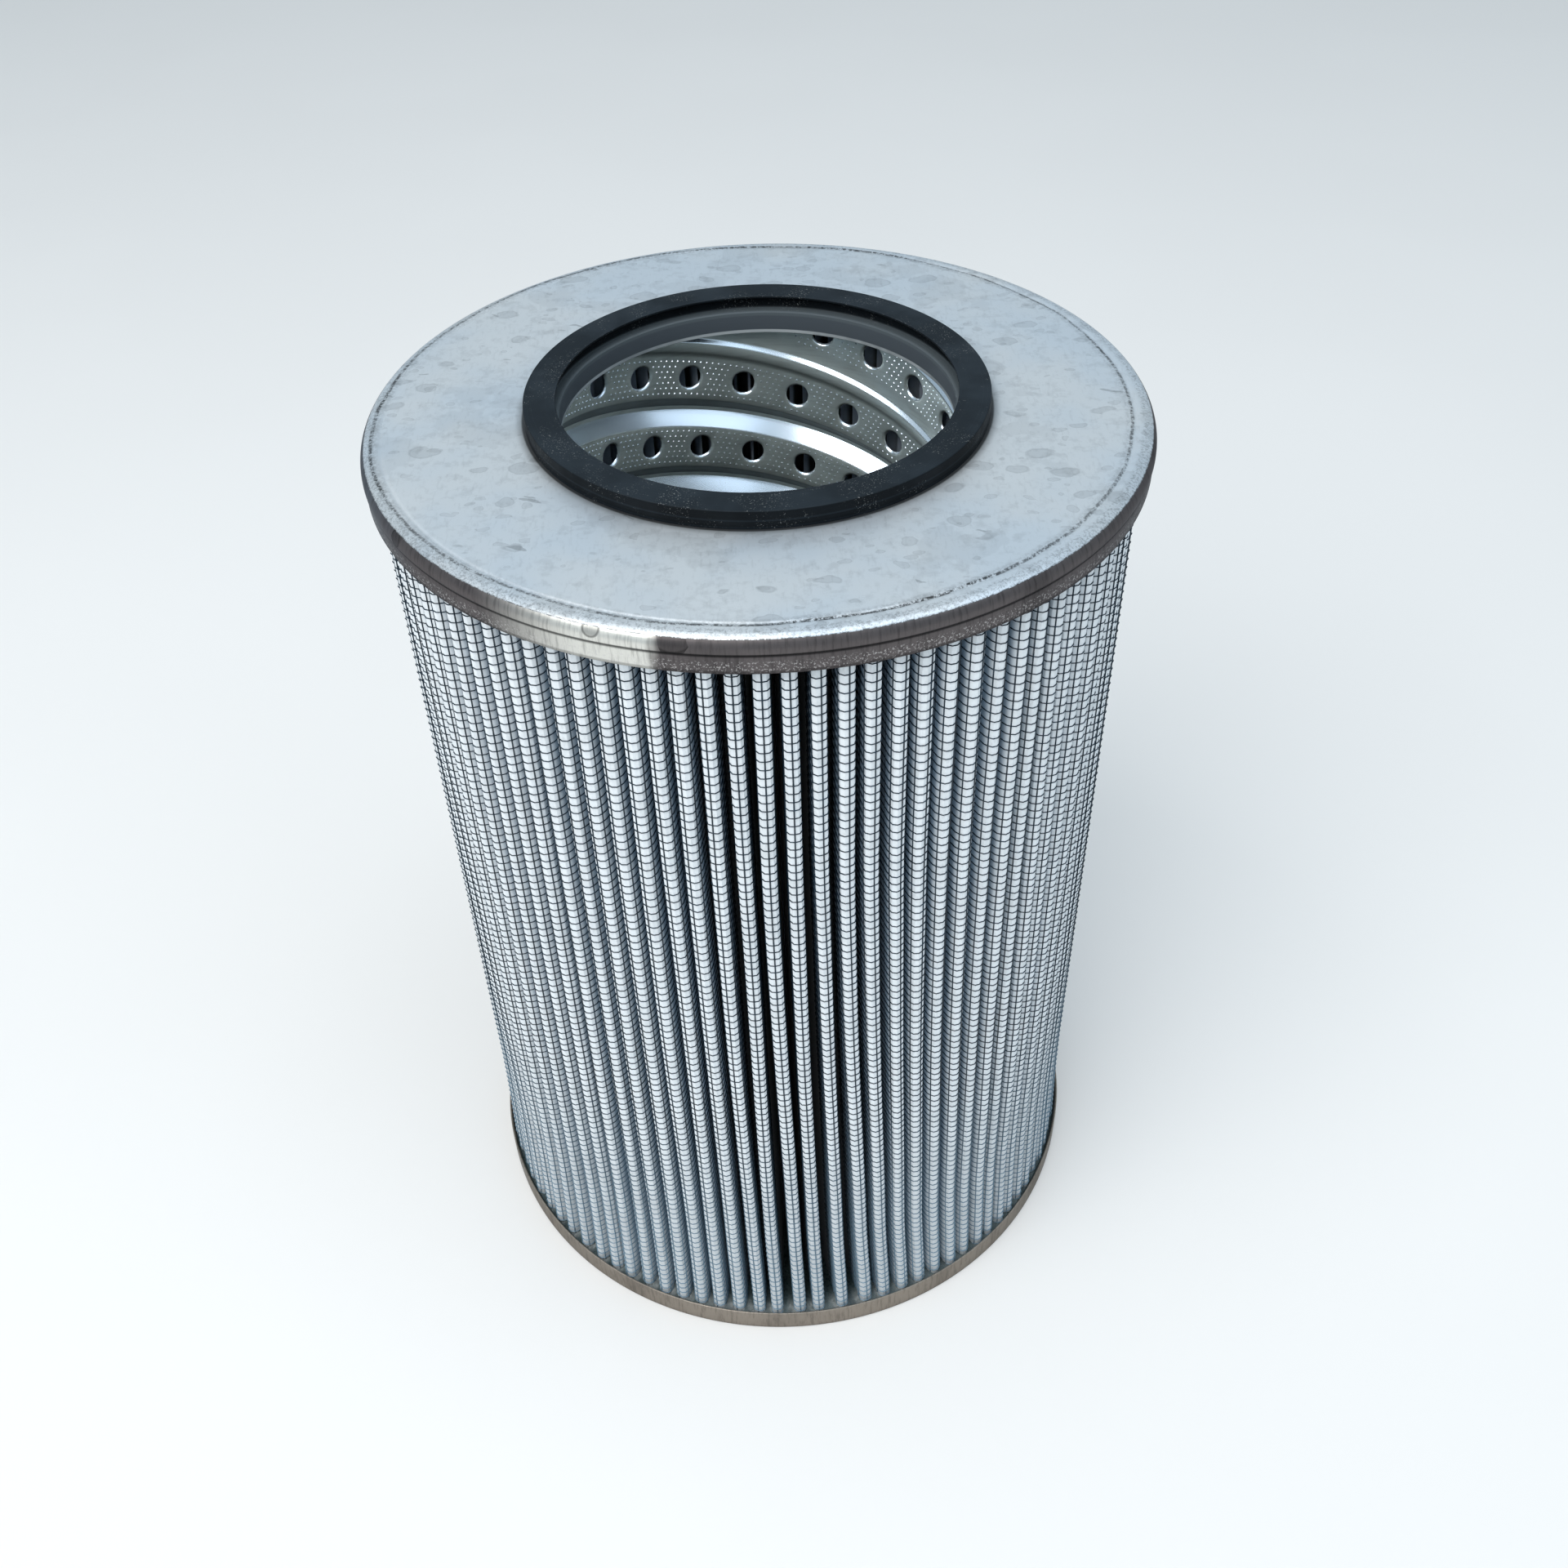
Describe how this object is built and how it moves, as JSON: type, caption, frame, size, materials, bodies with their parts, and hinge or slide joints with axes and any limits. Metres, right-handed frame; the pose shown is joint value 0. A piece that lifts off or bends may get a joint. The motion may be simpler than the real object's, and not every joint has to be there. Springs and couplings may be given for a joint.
{
  "type": "pleated hydraulic filter element",
  "caption": "Cylindrical pleated filter element with pressed metal end caps, a perforated spiral core and a rubber seal grommet round its single open end.",
  "frame": {"origin": "centre of the bottom end cap's outer face, on the element's axis", "axes": "+Z along the axis from the closed end to the open end with the seal grommet"},
  "size_m": [0.15, 0.15, 0.2116],
  "materials": {
    "cap_steel": "dull plated sheet with faint water stains",
    "core_steel": "satin zinc sheet",
    "filter_media": "white glass fibre under dark coated wire cloth",
    "adhesive": "cured dark adhesive",
    "seal_rubber": "moulded nitrile, slightly dusty"
  },
  "bodies": {
    "root": {"top_end_cap": "cap_steel", "bottom_end_cap": "cap_steel", "core_tube": "core_steel", "pleat_pack": "filter_media", "top_potting": "adhesive", "bottom_potting": "adhesive", "seal_grommet": "seal_rubber"}
  },
  "joints": []
}
